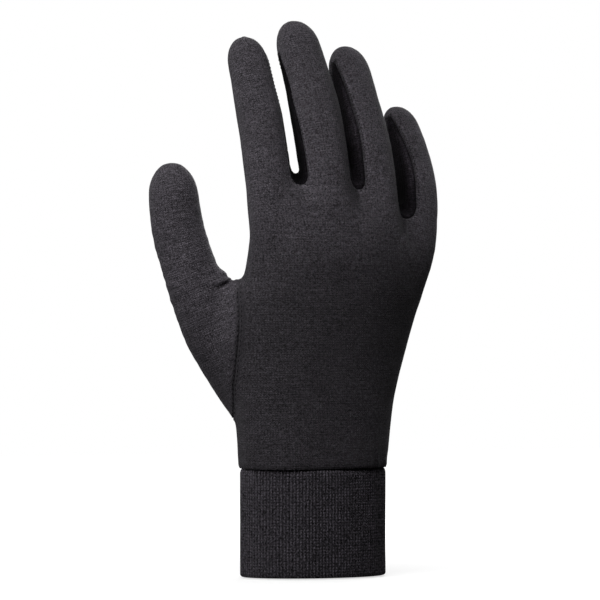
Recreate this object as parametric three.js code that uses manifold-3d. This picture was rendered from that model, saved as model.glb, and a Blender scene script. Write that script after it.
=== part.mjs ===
// A thin knitted glove liner for the right hand, filled out as if a relaxed hand were inside it.
//
// It is sewn from six pieces of cloth: a hand piece that wraps the back and the palm, a thumb,
// three narrow side strips between the fingers, and a ribbed cuff. Every piece is a hollow wall
// and meets its neighbours edge to edge, with a hairline seam gap between them.
//
// Millimetres. X runs from the thumb side to the little finger side, Y from the back of the
// hand to the palm, and Z up to the fingertips. The origin is the middle of the wrist opening,
// level with the lower edge of the cuff.
import * as THREE from 'three';
import { mergeVertices } from 'three/addons/utils/BufferGeometryUtils.js';
import Module from 'manifold-3d';

const wasm = await Module();
wasm.setup();

// Cloth
const clothWall = 1.2;
const seamGap = 0.3;

// Cuff
const cuffHeight = 48.7;
const cuffWidth = 68.4;
const cuffDepth = 44;
const cuffWall = 2.2;
const ribPitch = 1.5;
const ribRelief = 0.3;
const hemRound = 1;
const hemInsetShare = 0.7;
const topInsetShare = 0.5;

// Hand
const palmHeight = 125;
const radialReach = 38;
const ulnarReach = 62.5;
const palmDepth = 31;
const palmArch = 4.5;
const ulnarDrop = 25;
const thumbUp = 137;
const thumbOut = 61;
const thumbForward = 20.5;
const thumbWidth = 24.4;
const thumbDepth = 23;
const webDepth = 15;
const webRound = 6;
const webSag = 9;
const webTurns = [30, 60, 80];
const webThinnest = 0.6;
const thumbWebDepth = 15;

// Side strips between the fingers
const stripWidth = 13;
const stripPoint = 2.5;
const stripRootBelow = 12;
const stripReach = 0.86;
const stripTaperFrom = 0.4;
const stripTaperPower = 1.5;

// Facets
const palmSides = 40;
const fingerSides = 16;
const thumbSides = 18;
const webSides = 20;
const hollowFacets = 0.7;

const handBottom = cuffHeight + seamGap;

// One row for each finger. across is where its knuckle sits between the two edges of the palm,
// -1 at the thumb side and 1 at the little finger side, and up is its share of the palm's height.
// Lengths run from knuckle to tip. Leans are sideways, curls are towards the palm, and rolls turn
// the back of the finger outwards, all in degrees.
const fingers = [
  { name: 'index', across: -0.76, up: 0.80, length: 99.6, width: 20, depth: 19,
    lean: [-1.5, -3.5], curl: [4, 30], roll: -6 },
  { name: 'middle', across: -0.18, up: 0.82, length: 105.8, width: 22, depth: 20,
    lean: [-1, -6.5], curl: [5, 32], roll: 0 },
  { name: 'ring', across: 0.37, up: 0.78, length: 101.3, width: 20.5, depth: 19,
    lean: [0, -3.5], curl: [7, 36], roll: 8 },
  { name: 'little', across: 0.775, up: 0.68, length: 88, width: 18.5, depth: 17,
    lean: [22, -14], curl: [9, 36], roll: 18 },
];

// A finger's girth from its root in the palm to its tip, as shares of its length, width and
// depth. The last stretch is a round tip, worked out by a formula.
const fingerShape = [
  { along: -0.20, width: 0.50, depth: 0.50 },
  { along: 0.00, width: 0.96, depth: 0.96 },
  { along: 0.25, width: 1.03, depth: 1.03 },
  { along: 0.50, width: 1.04, depth: 1.02 },
  { along: 0.72, width: 0.97, depth: 0.93 },
  { along: 1.00, width: 0.88, depth: 0.80 },
];
const tipRoundShare = 0.62;
const fingerSquareness = 2.35;

// The last body section stays this share of the tip's length clear of the tip.
const tipClearShare = 0.2;

// The palm from the cuff up to the knuckles. radial and ulnar are the reach to the thumb's side
// and the little finger's, back and front the thickness either side of the middle, arch the
// hollowing of the palm and drop the lower shoulder under the little finger, each as a share of
// its named size. wrist is how much of the cuff's own size is added to the first four.
const palmShape = [
  { up: 0.025, wrist: 1.0, radial: 0.02, ulnar: 0.01, back: 0.0, front: 0.0, arch: 0, drop: 0 },
  { up: 0.13, wrist: 0.7, radial: 0.31, ulnar: 0.20, back: 0.16, front: 0.18, arch: 0.1, drop: 0 },
  { up: 0.26, wrist: 0.4, radial: 0.60, ulnar: 0.41, back: 0.32, front: 0.34, arch: 0.25, drop: 0 },
  { up: 0.39, wrist: 0.15, radial: 0.835, ulnar: 0.62, back: 0.45, front: 0.46, arch: 0.45, drop: 0 },
  { up: 0.52, wrist: 0, radial: 0.95, ulnar: 0.785, back: 0.525, front: 0.525, arch: 0.65, drop: 0 },
  { up: 0.66, wrist: 0, radial: 0.86, ulnar: 0.875, back: 0.505, front: 0.50, arch: 0.85, drop: 0.1 },
  { up: 0.76, wrist: 0, radial: 0.81, ulnar: 0.90, back: 0.495, front: 0.46, arch: 1, drop: 0.3 },
  { up: 0.86, wrist: 0, radial: 0.76, ulnar: 0.91, back: 0.455, front: 0.37, arch: 1, drop: 0.6 },
  { up: 0.95, wrist: 0, radial: 0.72, ulnar: 0.88, back: 0.375, front: 0.28, arch: 1, drop: 0.9 },
  { up: 1.0, wrist: 0, radial: 0.66, ulnar: 0.86, back: 0.30, front: 0.18, arch: 1, drop: 1 },
];
const palmSquareness = 2.25;

// The crotches between neighbouring fingers, each as a share of the palm's height.
const crotches = [1.02, 1.02, 0.92];

// The thumb's middle line and girth. out, forward and up are shares of how far its tip stands
// out from the palm, forward of it and above the cuff, and turn is its roll in degrees.
const thumbShape = [
  { out: 0.26, forward: 0.20, up: 0.06, width: 0.70, depth: 0.70, turn: -20 },
  { out: 0.49, forward: 0.62, up: 0.28, width: 1.06, depth: 1.16, turn: -25 },
  { out: 0.70, forward: 0.80, up: 0.45, width: 1.08, depth: 1.12, turn: -28 },
  { out: 0.84, forward: 0.92, up: 0.63, width: 1.03, depth: 1.02, turn: -22 },
  { out: 0.94, forward: 0.99, up: 0.78, width: 0.98, depth: 0.98, turn: -15 },
  { out: 1.0, forward: 1.0, up: 1.0, width: 0.92, depth: 0.88, turn: -15 },
];
const thumbSections = 12;
const thumbRoundShare = 0.60;
const thumbSquareness = 2;

// The ball of the thumb and the web above it, from the wrist up to the crotch beside the first
// finger. up is a share of the palm's height, depth of thumbWebDepth, and reach says how far it
// runs into the palm as a share of radialReach.
const thumbWeb = [
  { up: 0.12, depth: 1.6, reach: 0.3 },
  { up: 0.30, depth: 1.9, reach: 0.3 },
  { up: 0.42, depth: 1.7, reach: 0.25 },
  { up: 0.53, depth: 1.2, reach: 0.2 },
  { up: 0.60, depth: 0.8, reach: 0.2 },
];

// The thumb's seam, from where it runs out at the edge of the wrist, up to the crotch between
// thumb and first finger and on through the open air. up is a share of the palm's height, and
// back and palm are where the seam lies on each face, as shares of radialReach.
const thumbSeam = [
  { up: 0.10, back: 1.10, palm: 0.98 },
  { up: 0.20, back: 1.03, palm: 0.80 },
  { up: 0.30, back: 1.01, palm: 0.62 },
  { up: 0.42, back: 0.99, palm: 0.55 },
  { up: 0.55, back: 0.955, palm: 0.62 },
  { up: 0.67, back: 0.93, palm: 0.80 },
  { up: 0.72, back: 0.93, palm: 0.93 },
  { up: 1.25, back: 0.98, palm: 0.98 },
];

const degrees = THREE.MathUtils.degToRad;
const mix = THREE.MathUtils.lerp;

// The row of a table at a place between its rows, blended smoothly.
function between(table, key, place) {
  const last = table.length - 1;
  const clamped = THREE.MathUtils.clamp(place, table[0][key], table[last][key]);
  let i = 0;
  while (i < last - 1 && table[i + 1][key] < clamped) i += 1;
  const share = (clamped - table[i][key]) / (table[i + 1][key] - table[i][key]);
  const row = {};
  for (const column of Object.keys(table[i])) {
    row[column] = mix(table[i][column], table[i + 1][column], share);
  }
  return row;
}

// A closed solid through rings of points, all with as many points, counted the same way round.
function loft(rings) {
  const sides = rings[0].length;
  const points = rings.flat();
  const faces = [];
  for (let i = 0; i + 1 < rings.length; i += 1) {
    for (let j = 0; j < sides; j += 1) {
      const a = i * sides + j;
      const b = i * sides + (j + 1) % sides;
      faces.push(a, b, b + sides, a, b + sides, a + sides);
    }
  }
  const ends = [[0, true], [rings.length - 1, false]];
  for (const [i, isBottom] of ends) {
    const middle = points.length;
    const centre = new THREE.Vector3();
    rings[i].forEach((p) => centre.addScaledVector(p, 1 / sides));
    points.push(centre);
    for (let j = 0; j < sides; j += 1) {
      const a = i * sides + j;
      const b = i * sides + (j + 1) % sides;
      if (isBottom) faces.push(middle, b, a);
      else faces.push(middle, a, b);
    }
  }
  const geometry = new THREE.BufferGeometry().setFromPoints(points);
  geometry.setIndex(faces);
  return solidOf(geometry);
}

// A closed surface as a solid that can be joined and cut, and back again.
function solidOf(geometry) {
  const bare = geometry.clone();
  bare.deleteAttribute('normal');
  bare.deleteAttribute('uv');
  const merged = mergeVertices(bare, 1e-4);
  return new wasm.Manifold(new wasm.Mesh({
    numProp: 3,
    vertProperties: merged.attributes.position.array,
    triVerts: new Uint32Array(merged.index.array),
  }));
}

function geometryOf(solid) {
  const mesh = solid.getMesh();
  const geometry = new THREE.BufferGeometry();
  geometry.setAttribute('position', new THREE.BufferAttribute(mesh.vertProperties.slice(), 3));
  geometry.setIndex(new THREE.BufferAttribute(mesh.triVerts.slice(), 1));
  const flat = geometry.toNonIndexed();
  flat.computeVertexNormals();
  return flat;
}

const joined = (solids) => solids.reduce((all, one) => all.add(one));

// The hollow is faceted more coarsely than the outside.
const facets = (sides, inset) => Math.round(sides * (inset > 0 ? hollowFacets : 1));

// A rounded oval ring. across and through are its unit directions, back and front its reach
// against and along the second. The arch carries its two edges towards the palm, the lift
// carries them upwards and the drop carries the far one down.
function oval({
  centre, across, through, half, back, front, squareness, sides, arch = 0, lift = 0, drop = 0,
}) {
  const ring = [];
  for (let j = 0; j < sides; j += 1) {
    const angle = (j / sides) * 2 * Math.PI;
    const c = Math.cos(angle);
    const s = Math.sin(angle);
    const x = Math.sign(c) * Math.abs(c) ** (2 / squareness);
    const y = Math.sign(s) * Math.abs(s) ** (2 / squareness);
    const point = centre.clone()
      .addScaledVector(across, x * half)
      .addScaledVector(through, y * (y < 0 ? back : front) + arch * (x * x - 0.5));
    point.z += lift * x * x - drop * Math.max(0, x);
    ring.push(point);
  }
  return ring;
}

const upright = (z) => new THREE.Vector3(0, 0, z);
const acrossHand = new THREE.Vector3(1, 0, 0);
const towardsPalm = new THREE.Vector3(0, 1, 0);

// The palm's sizes in millimetres at a share of its height.
function palmAt(up) {
  const row = between(palmShape, 'up', up);
  return {
    z: handBottom + up * palmHeight,
    radial: row.radial * radialReach + row.wrist * cuffWidth / 2,
    ulnar: row.ulnar * ulnarReach + row.wrist * cuffWidth / 2,
    back: row.back * palmDepth + row.wrist * cuffDepth / 2,
    front: row.front * palmDepth + row.wrist * cuffDepth / 2,
    arch: row.arch * palmArch,
    drop: row.drop * ulnarDrop,
  };
}

// The palm. inset is 0 for the outside and the wall for the hollow, whose open end runs on
// below the palm.
function palmSolid(inset) {
  const wrist = {
    z: handBottom, radial: cuffWidth / 2, ulnar: cuffWidth / 2,
    back: cuffDepth / 2, front: cuffDepth / 2, arch: 0, drop: 0,
  };
  const rows = [wrist, ...palmShape.map((row) => palmAt(row.up))];
  const rings = rows.map(({ z, radial, ulnar, back, front, arch, drop }, i) => oval({
    centre: upright(z - (i === rows.length - 1 ? inset : 0)).setX((ulnar - radial) / 2),
    across: acrossHand,
    through: towardsPalm,
    half: (radial + ulnar) / 2 - inset,
    back: back - inset,
    front: front - inset,
    squareness: palmSquareness,
    sides: facets(palmSides, inset),
    arch,
    drop,
  }));
  if (inset > 0) rings.unshift(rings[0].map((p) => p.clone().setZ(handBottom - 2 * inset)));
  return loft(rings);
}

// The middle line of a finger: where it is and how it faces at a distance from its knuckle. The
// line is walked in steps of about a millimetre.
const lineStep = 1;
const searchSteps = 20;
function fingerFrame(finger, distance) {
  const { z, radial, ulnar, back, arch } = palmAt(finger.up);
  const bulge = (1 - Math.abs(finger.across) ** palmSquareness) ** (1 / palmSquareness);
  const centre = new THREE.Vector3(
    (ulnar - radial) / 2 + finger.across * (ulnar + radial) / 2,
    arch * (finger.across ** 2 - 0.5) - back * bulge + finger.depth / 2,
    z,
  );
  const facing = (at) => {
    const share = THREE.MathUtils.clamp(at / finger.length, 0, 1);
    const lean = degrees(mix(finger.lean[0], finger.lean[1], share));
    const curl = degrees(mix(finger.curl[0], finger.curl[1], share));
    return {
      along: new THREE.Vector3(
        Math.sin(lean) * Math.cos(curl), Math.sin(curl), Math.cos(lean) * Math.cos(curl),
      ),
      through: new THREE.Vector3(
        -Math.sin(lean) * Math.sin(curl), Math.cos(curl), -Math.cos(lean) * Math.sin(curl),
      ),
    };
  };
  const steps = Math.ceil(Math.abs(distance) / lineStep);
  for (let i = 0; i < steps; i += 1) {
    const step = distance / steps;
    centre.addScaledVector(facing((i + 0.5) * step).along, step);
  }
  const { along, through } = facing(distance);
  through.applyAxisAngle(along, degrees(finger.roll));
  return { centre, along, through, across: through.clone().cross(along) };
}

// The rings of a round tip: how far along the tip each one is, and its girth there. Both are
// shares, of the tip's length and of the girth where the tip starts.
const tipRings = [0, 0.3, 0.55, 0.75, 0.9, 0.98].map((along) => (
  { along, girth: Math.sqrt(1 - along * along) }
));

// Places along a tube that ends in a round tip, with the tip's own narrowing at each.
function tubePlaces(bodyPlaces, length, round, inset) {
  const start = length - round;
  return [
    ...bodyPlaces.filter((at) => at < start - round * tipClearShare).map((at) => ({ at, tip: 1 })),
    ...tipRings.map(({ along, girth }) => ({ at: start + (round - inset) * along, tip: girth })),
  ];
}

function fingerSolid(finger, inset) {
  const body = fingerShape.map((row) => row.along * finger.length);
  const round = finger.width * tipRoundShare;
  return loft(tubePlaces(body, finger.length, round, inset).map(({ at, tip }) => {
    const girth = between(fingerShape, 'along', at / finger.length);
    const thick = (girth.depth * finger.depth / 2 - inset) * tip;
    const { centre, across, through } = fingerFrame(finger, at);
    return oval({
      centre,
      across,
      through,
      half: (girth.width * finger.width / 2 - inset) * tip,
      back: thick,
      front: thick,
      squareness: fingerSquareness,
      sides: facets(fingerSides, inset),
    });
  }));
}

// The thumb's middle line is a smooth curve through its table.
const thumbLine = new THREE.CatmullRomCurve3(thumbShape.map((row) => new THREE.Vector3(
  -row.out * thumbOut,
  row.forward * thumbForward,
  handBottom + row.up * thumbUp,
)));

function thumbSolid(inset) {
  const total = thumbLine.getLength();
  const round = thumbWidth * thumbRoundShare;
  const body = Array.from({ length: thumbSections }, (_, i) => (
    (i / thumbSections) * (total - round)
  ));
  return loft(tubePlaces(body, total, round, inset).map(({ at, tip }) => {
    const parameter = thumbLine.getUtoTmapping(at / total);
    const place = (thumbShape.length - 1) * parameter;
    const before = Math.min(Math.floor(place), thumbShape.length - 2);
    const pick = (column) => mix(
      thumbShape[before][column], thumbShape[before + 1][column], place - before,
    );
    const along = thumbLine.getTangent(parameter);
    const turn = degrees(pick('turn'));
    const facing = new THREE.Vector3(Math.cos(turn), Math.sin(turn), 0);
    const through = along.clone().cross(facing).normalize();
    const thick = (pick('depth') * thumbDepth / 2 - inset) * tip;
    return oval({
      centre: thumbLine.getPoint(parameter),
      across: through.clone().cross(along).normalize(),
      through,
      half: (pick('width') * thumbWidth / 2 - inset) * tip,
      back: thick,
      front: thick,
      squareness: thumbSquareness,
      sides: facets(thumbSides, inset),
    });
  }));
}

// A web of cloth between two middle lines, from its lowest station up to a crotch that is round
// and sags in the middle.
function webSolid(stations, inset) {
  const top = stations[stations.length - 1];
  const round = webTurns.map(degrees).map((turn) => ({
    depth: top.depth * Math.cos(turn),
    a: top.a.clone().setZ(top.a.z + webRound * Math.sin(turn)),
    b: top.b.clone().setZ(top.b.z + webRound * Math.sin(turn)),
  }));
  return loft([...stations, ...round].map(({ a, b, depth }) => {
    const across = b.clone().sub(a).setZ(0).normalize();
    const thick = Math.max(depth / 2 - inset, webThinnest / 2);
    return oval({
      centre: a.clone().add(b).multiplyScalar(0.5).setZ(a.z - inset),
      across,
      through: new THREE.Vector3(0, 0, 1).cross(across),
      half: a.distanceTo(b) / 2 - inset,
      back: thick,
      front: thick,
      squareness: palmSquareness,
      sides: facets(webSides, inset),
      lift: webSag,
    });
  }));
}

// The heights of the web between two neighbouring fingers, up to its crotch.
function fingerWeb(first, second, crotch, inset) {
  const top = handBottom + crotch * palmHeight - webRound;
  const low = handBottom + Math.min(first.up, second.up) * palmHeight;
  const heights = [0, 0.5, 1];
  return webSolid(heights.map((share) => {
    const z = mix(low, top, share);
    const a = fingerAt(first, z);
    const b = fingerAt(second, z);
    return { a: a.centre.setZ(z), b: b.centre.setZ(z), depth: webDepth };
  }), inset);
}

// The frame of a finger at a height, found by walking up its middle line.
function fingerAt(finger, z) {
  let distance = z - handBottom - finger.up * palmHeight;
  for (let i = 0; i < searchSteps; i += 1) distance += z - fingerFrame(finger, distance).centre.z;
  return { ...fingerFrame(finger, distance), distance };
}

function thumbWebSolid(inset) {
  return webSolid(thumbWeb.map((row) => {
    const { z, radial } = palmAt(row.up);
    let place = 0.5;
    for (let i = 0; i < searchSteps; i += 1) {
      place += (z - thumbLine.getPointAt(place).z) / thumbUp / 2;
      place = THREE.MathUtils.clamp(place, 0, 1);
    }
    const a = thumbLine.getPointAt(place);
    const b = new THREE.Vector3(row.reach * radialReach - radial, 0, z);
    return { a, b, depth: row.depth * thumbWebDepth };
  }), inset);
}

// The whole cloth skin: everything outside, less everything inside.
const skinOf = (inset) => joined([
  palmSolid(inset),
  thumbSolid(inset),
  thumbWebSolid(inset),
  ...fingers.map((finger) => fingerSolid(finger, inset)),
  ...crotches.map((crotch, i) => fingerWeb(fingers[i], fingers[i + 1], crotch, inset)),
]);
const skin = skinOf(0).subtract(skinOf(clothWall));

// A cutter for one side strip: the space between the middle lines of two neighbouring fingers,
// as thick as the strip is wide, narrowing to a point near the fingertips.
function stripCutter(first, second, crotch, margin) {
  const bottom = handBottom + crotch * palmHeight - stripRootBelow - margin;
  const roots = [first, second].map((finger) => fingerAt(finger, bottom).distance);
  const shares = [0, 0.2, 0.4, 0.6, 0.8, 1];
  return loft(shares.map((share) => {
    const a = fingerFrame(first, mix(roots[0], first.length * stripReach + margin, share));
    const b = fingerFrame(second, mix(roots[1], second.length * stripReach + margin, share));
    const taper = Math.max(0, (share - stripTaperFrom) / (1 - stripTaperFrom));
    const narrowing = taper ** stripTaperPower;
    const half = mix(stripWidth, stripPoint, narrowing) / 2 + margin;
    return [
      a.centre.clone().addScaledVector(a.through, -half),
      b.centre.clone().addScaledVector(b.through, -half),
      b.centre.clone().addScaledVector(b.through, half),
      a.centre.clone().addScaledVector(a.through, half),
    ];
  }));
}

// A cutter for the thumb: everything on the thumb's side of its seam.
function thumbCutter(margin) {
  const far = thumbOut * 2;
  const deep = cuffDepth + thumbForward;
  const rings = thumbSeam.map((row) => {
    const z = handBottom + row.up * palmHeight;
    const back = -row.back * radialReach + margin;
    const palm = -row.palm * radialReach + margin;
    return [
      new THREE.Vector3(-far, -deep, z),
      new THREE.Vector3(back, -deep, z),
      new THREE.Vector3(back, 0, z),
      new THREE.Vector3(palm, palmDepth / 2, z),
      new THREE.Vector3(palm, deep, z),
      new THREE.Vector3(-far, deep, z),
    ];
  });
  if (margin > 0) rings[0].forEach((p) => p.setZ(p.z - margin));
  return loft(rings);
}

const strips = crotches.map((crotch, i) => {
  const [first, second] = fingers.slice(i, i + 2);
  return {
    name: `side_strip_${first.name}_${second.name}`,
    solid: skin.intersect(stripCutter(first, second, crotch, 0)),
    room: stripCutter(first, second, crotch, seamGap),
  };
});
const thumb = skin.intersect(thumbCutter(0));
const hand = skin.subtract(joined([thumbCutter(seamGap), ...strips.map((strip) => strip.room)]));

// The cuff: a straight oval band, ribbed outside, with its folded lower edge rounded. Its points
// are evenly spaced round the oval, and every other one is sunk between two ribs.
function cuffRing(z, inset, relief, sides) {
  const line = new THREE.EllipseCurve(0, 0, cuffWidth / 2, cuffDepth / 2);
  line.arcLengthDivisions = sides * 4;
  return line.getSpacedPoints(sides).slice(0, sides).map((p, j) => {
    const outward = new THREE.Vector3(p.x / cuffWidth ** 2, p.y / cuffDepth ** 2, 0).normalize();
    return new THREE.Vector3(p.x, p.y, z).addScaledVector(outward, -inset - (j % 2) * relief);
  });
}

function cuffSolid() {
  const girth = new THREE.EllipseCurve(0, 0, cuffWidth / 2, cuffDepth / 2).getLength();
  const ribs = Math.round(girth / ribPitch);
  const outside = loft([
    cuffRing(0, hemRound * hemInsetShare, 0, ribs * 2),
    cuffRing(hemRound, 0, ribRelief, ribs * 2),
    cuffRing(cuffHeight - hemRound, 0, ribRelief, ribs * 2),
    cuffRing(cuffHeight, hemRound * topInsetShare, 0, ribs * 2),
  ]);
  const inside = loft([
    cuffRing(-hemRound, cuffWall, 0, palmSides * 2),
    cuffRing(cuffHeight + hemRound, cuffWall, 0, palmSides * 2),
  ]);
  return outside.subtract(inside);
}

const cloth = (color, roughness) => (
  new THREE.MeshStandardMaterial({ color, roughness, metalness: 0 })
);
const jersey = () => cloth(0x2b292c, 0.92);
const rib = () => cloth(0x262428, 0.95);

// One named piece of the part, without the crumbs a cut may leave.
function piece(name, solid, material) {
  const bodies = solid.decompose().sort((a, b) => b.volume() - a.volume());
  const mesh = new THREE.Mesh(geometryOf(bodies[0]), material);
  mesh.name = name;
  return mesh;
}

const liner = new THREE.Group();
liner.add(piece('hand', hand, jersey()));
liner.add(piece('thumb', thumb, jersey()));
strips.forEach((strip) => liner.add(piece(strip.name, strip.solid, jersey())));
liner.add(piece('cuff', cuffSolid(), rib()));

export default liner;
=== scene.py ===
import math

import bmesh
import bpy
import numpy as np
from mathutils import Matrix, Vector, noise
from mathutils.bvhtree import BVHTree
from mathutils.kdtree import KDTree


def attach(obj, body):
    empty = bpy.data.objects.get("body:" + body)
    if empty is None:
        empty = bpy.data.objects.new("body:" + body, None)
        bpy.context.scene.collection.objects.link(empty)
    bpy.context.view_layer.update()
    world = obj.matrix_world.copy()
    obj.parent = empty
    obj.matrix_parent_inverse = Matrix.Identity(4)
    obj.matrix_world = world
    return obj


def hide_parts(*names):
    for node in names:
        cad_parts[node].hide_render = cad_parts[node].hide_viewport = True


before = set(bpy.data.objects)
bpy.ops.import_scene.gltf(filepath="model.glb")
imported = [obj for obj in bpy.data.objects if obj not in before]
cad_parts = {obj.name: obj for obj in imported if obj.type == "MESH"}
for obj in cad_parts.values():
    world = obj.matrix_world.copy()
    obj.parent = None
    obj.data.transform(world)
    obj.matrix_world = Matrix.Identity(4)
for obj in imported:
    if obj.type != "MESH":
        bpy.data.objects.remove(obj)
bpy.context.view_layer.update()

# Every size in the tables is in millimetres, as in the part's source. Meshes are in metres.
MM = 0.001

# The camera stands level, a little to the thumb's side of the back of the hand.
CAMERA_TURN = math.radians(-22)
CAMERA_DISTANCE = 2000
FRAME_WIDTH = 270
SENSOR_WIDTH = 36
AIM_ACROSS = -5.85
AIM_HEIGHT = 123.975

towards_camera = Vector((math.sin(CAMERA_TURN), -math.cos(CAMERA_TURN), 0))
camera_right = Vector((math.cos(CAMERA_TURN), math.sin(CAMERA_TURN), 0))
aim = camera_right * AIM_ACROSS + Vector((0, 0, AIM_HEIGHT))

lens = bpy.data.cameras.new("photo_camera")
lens.sensor_width = SENSOR_WIDTH
lens.lens = SENSOR_WIDTH * CAMERA_DISTANCE / FRAME_WIDTH
lens.clip_end = 20
camera = bpy.data.objects.new("photo_camera", lens)
camera.location = (aim + towards_camera * CAMERA_DISTANCE) * MM
camera.rotation_euler = towards_camera.to_track_quat("Z", "Y").to_euler()
bpy.context.scene.collection.objects.link(camera)
bpy.context.scene.camera = camera

# Cloth
CLOTH_WALL = 1.1
SEAM_GAP = 0.3
WEAVE_CELL = 1.34
SMOOTHINGS = 14
# How far the hand's cloth reaches down over the cuff
WRIST_OVERLAP = 0.4

# Cuff
CUFF_HEIGHT = 48.7
CUFF_WIDTH = 68.4
CUFF_DEPTH = 44
CUFF_WALL = 2.2
RIBS = 119
RIB_RELIEF = 0.34
POINTS_PER_RIB = 8

# Hand
HAND_BOTTOM = CUFF_HEIGHT + SEAM_GAP
PALM_HEIGHT = 125
RADIAL_REACH = 38
ULNAR_REACH = 62.5
PALM_DEPTH = 31
PALM_ARCH = 4.5
ULNAR_DROP = 25
THUMB_UP = 137
THUMB_OUT = 61
THUMB_FORWARD = 20.5
THUMB_WIDTH = 24.4
THUMB_DEPTH = 23
WEB_DEPTH = 15
WEB_ROUND = 6
WEB_SAG = 9
THUMB_WEB_DEPTH = 15

# Side strips between the fingers
STRIP_WIDTH = 13
STRIP_POINT = 2.5
STRIP_ROOT_BELOW = 12
STRIP_REACH = 0.86
STRIP_START = -0.3
STRIP_LENGTH = 90
STRIP_TAPER_FROM = 0.4
STRIP_TAPER_POWER = 1.5
# How much less of each strip is on the back of its first and its second finger, as a share
STRIP_LEAN = [(0.9, -0.45), (0.06, -0.18), (0, 0)]

PALM_SQUARENESS = 2.25
FINGER_SQUARENESS = 2.35
THUMB_SQUARENESS = 2
TIP_ROUND_SHARE = 0.62
THUMB_ROUND_SHARE = 0.60

# How finely the closed forms are divided
PALM_SIDES = 96
ROUND_SIDES = 48
PALM_RINGS = 40
PALM_ROOT = -0.06
FINGER_RINGS = 36
THUMB_RINGS = 40
FINGER_WEB_RINGS = 6
THUMB_WEB_RINGS = 12
TIP_TURNS = [0, 12, 24, 36, 48, 58, 67, 75, 82]
WEB_TURNS = [15, 30, 45, 60, 72, 82]
WEB_LEAST = 0.3

# name, across, up, length, width, depth, lean at root and tip, curl at root and tip, roll
FINGERS = [
    ("index", -0.76, 0.80, 99.6, 20, 19, (-1.5, -3.5), (4, 30), -6),
    ("middle", -0.18, 0.82, 105.8, 22, 20, (-1, -6.5), (5, 32), 0),
    ("ring", 0.37, 0.78, 101.3, 20.5, 19, (0, -3.5), (7, 36), 8),
    ("little", 0.775, 0.68, 88, 18.5, 17, (22, -14), (9, 36), 18),
]

# along, width, depth: shares of a finger's length, width and depth
FINGER_SHAPE = [
    (-0.20, 0.50, 0.50),
    (0.00, 0.96, 0.96),
    (0.25, 1.03, 1.03),
    (0.50, 1.04, 1.02),
    (0.72, 0.97, 0.93),
    (1.00, 0.88, 0.80),
]

# up, wrist, radial, ulnar, back, front, arch, drop
PALM_SHAPE = [
    (0.0, 1, 0, 0, 0, 0, 0, 0),
    (0.025, 1, 0.02, 0.01, 0, 0, 0, 0),
    (0.13, 0.7, 0.31, 0.20, 0.16, 0.18, 0.1, 0),
    (0.26, 0.4, 0.60, 0.41, 0.32, 0.34, 0.25, 0),
    (0.39, 0.15, 0.835, 0.62, 0.45, 0.46, 0.45, 0),
    (0.52, 0, 0.95, 0.785, 0.525, 0.525, 0.65, 0),
    (0.66, 0, 0.86, 0.875, 0.505, 0.50, 0.85, 0.1),
    (0.76, 0, 0.81, 0.90, 0.495, 0.46, 1, 0.3),
    (0.86, 0, 0.76, 0.91, 0.455, 0.37, 1, 0.6),
    (0.95, 0, 0.72, 0.88, 0.375, 0.28, 1, 0.9),
    (1.0, 0, 0.66, 0.86, 0.30, 0.18, 1, 1),
]

CROTCHES = [1.02, 1.02, 0.92]

# out, forward, up, width, depth, turn
THUMB_SHAPE = [
    (0.26, 0.20, 0.06, 0.70, 0.70, -20),
    (0.49, 0.62, 0.28, 1.06, 1.16, -25),
    (0.70, 0.80, 0.45, 1.08, 1.12, -28),
    (0.84, 0.92, 0.63, 1.03, 1.02, -22),
    (0.94, 0.99, 0.78, 0.98, 0.98, -15),
    (1.0, 1.0, 1.0, 0.92, 0.88, -15),
]

# up, depth, reach
THUMB_WEB = [
    (0.12, 1.6, 0.3),
    (0.30, 1.9, 0.3),
    (0.42, 1.7, 0.25),
    (0.53, 1.2, 0.2),
    (0.60, 0.8, 0.2),
]

# up, back, palm
THUMB_SEAM = [
    (0.10, 1.10, 0.98),
    (0.20, 1.03, 0.80),
    (0.30, 1.01, 0.62),
    (0.42, 0.99, 0.55),
    (0.55, 0.955, 0.62),
    (0.67, 0.93, 0.80),
    (0.72, 0.93, 0.93),
    (1.25, 0.98, 0.98),
]

# The columns of the fingers' table that are read alone
UP = 2
LENGTH = 3

ACROSS_HAND = Vector((1, 0, 0))
TOWARDS_PALM = Vector((0, 1, 0))


def mix(a, b, share):
    return a + (b - a) * share


def smooth_step(low, high, value):
    share = np.clip((value - low) / (high - low), 0, 1)
    return share * share * (3 - 2 * share)


def bell(value, place, width):
    """1 at a place, falling smoothly to about a third of that at a width from it."""
    return np.exp(-((value - place) / width) ** 2)


def table_row(table, place):
    """A row of a table between its rows, on a smooth curve through them."""
    places = [row[0] for row in table]
    place = min(max(place, places[0]), places[-1])
    i = 0
    while i < len(table) - 2 and places[i + 1] < place:
        i += 1
    span = places[i + 1] - places[i]
    share = (place - places[i]) / span
    found = []
    for column in range(1, len(table[0])):
        values = [row[column] for row in table]
        step = (values[i + 1] - values[i]) / span
        before = step
        after = step
        if i > 0:
            before = (values[i + 1] - values[i - 1]) / (places[i + 1] - places[i - 1])
        if i + 2 < len(table):
            after = (values[i + 2] - values[i]) / (places[i + 2] - places[i])
        a = values[i]
        b = values[i + 1]
        rise = 3 * share ** 2 - 2 * share ** 3
        start_pull = share ** 3 - 2 * share ** 2 + share
        end_pull = share ** 3 - share ** 2
        found.append(mix(a, b, rise) + span * (before * start_pull + after * end_pull))
    return found


def oval(centre, across, through, half, back, front, squareness, sides,
         arch=0, lift=0, drop=0):
    """The points of a rounded oval ring."""
    ring = []
    for j in range(sides):
        angle = j / sides * 2 * math.pi
        c = math.cos(angle)
        s = math.sin(angle)
        x = math.copysign(abs(c) ** (2 / squareness), c)
        y = math.copysign(abs(s) ** (2 / squareness), s)
        point = centre + across * (x * half)
        point += through * (y * (back if y < 0 else front) + arch * (x * x - 0.5))
        point.z += lift * x * x - drop * max(0, x)
        ring.append(point)
    return ring


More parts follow.
